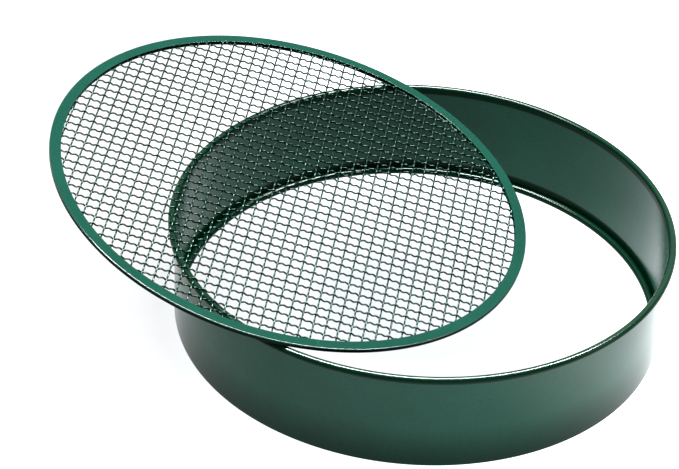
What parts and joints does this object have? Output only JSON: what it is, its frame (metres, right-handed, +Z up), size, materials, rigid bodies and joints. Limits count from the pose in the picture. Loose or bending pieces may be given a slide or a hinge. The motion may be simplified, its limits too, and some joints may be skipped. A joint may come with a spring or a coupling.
{
  "type": "soil sieve",
  "caption": "Round deep-walled garden sieve with a drop-in woven wire mesh disc that lifts out.",
  "frame": {"origin": "centre of the hoop's base, on the surface that the hoop stands on", "axes": "+Z up along the hoop's axis; +X from the hoop's centre away from the lifted disc; +Y to the rear"},
  "size_m": [0.4578, 0.3806, 0.1312],
  "materials": {
    "hoop_enamel": "glossy dark green enamel on rolled sheet steel",
    "ring_enamel": "satin-gloss green enamel on a folded hem",
    "mesh_enamel": "dark green coating on crimped steel wire",
    "bare_wire": "drawn steel wire, hidden in the rolled edges"
  },
  "bodies": {
    "hoop": {"hoop_wall": "hoop_enamel", "rim_bead": "hoop_enamel", "foot_bead": "hoop_enamel", "rim_wire": "bare_wire", "foot_wire": "bare_wire", "wall_seam_weld": "hoop_enamel", "rim_joint_weld": "hoop_enamel"},
    "mesh_disc": {"disc_ring": "ring_enamel", "ring_joint_weld": "ring_enamel", "warp_wires_01": "mesh_enamel", "warp_wires_02": "mesh_enamel", "warp_wires_03": "mesh_enamel", "warp_wires_04": "mesh_enamel", "warp_wires_05": "mesh_enamel", "warp_wires_06": "mesh_enamel", "warp_wires_07": "mesh_enamel", "warp_wires_08": "mesh_enamel", "warp_wires_09": "mesh_enamel", "warp_wires_10": "mesh_enamel", "warp_wires_11": "mesh_enamel", "warp_wires_12": "mesh_enamel", "warp_wires_13": "mesh_enamel", "warp_wires_14": "mesh_enamel", "warp_wires_15": "mesh_enamel", "warp_wires_16": "mesh_enamel", "warp_wires_17": "mesh_enamel", "warp_wires_18": "mesh_enamel", "warp_wires_19": "mesh_enamel", "warp_wires_20": "mesh_enamel", "weft_wires_01": "mesh_enamel", "weft_wires_02": "mesh_enamel", "weft_wires_03": "mesh_enamel", "weft_wires_04": "mesh_enamel", "weft_wires_05": "mesh_enamel", "weft_wires_06": "mesh_enamel", "weft_wires_07": "mesh_enamel", "weft_wires_08": "mesh_enamel", "weft_wires_09": "mesh_enamel", "weft_wires_10": "mesh_enamel", "weft_wires_11": "mesh_enamel", "weft_wires_12": "mesh_enamel", "weft_wires_13": "mesh_enamel", "weft_wires_14": "mesh_enamel", "weft_wires_15": "mesh_enamel", "weft_wires_16": "mesh_enamel", "weft_wires_17": "mesh_enamel", "weft_wires_18": "mesh_enamel", "weft_wires_19": "mesh_enamel", "weft_wires_20": "mesh_enamel"}
  },
  "joints": [
    {"name": "disc_lift", "type": "slide", "parent": "hoop", "child": "mesh_disc", "axis": [0, 0, 1], "range_m": [0, 0.12]}
  ]
}
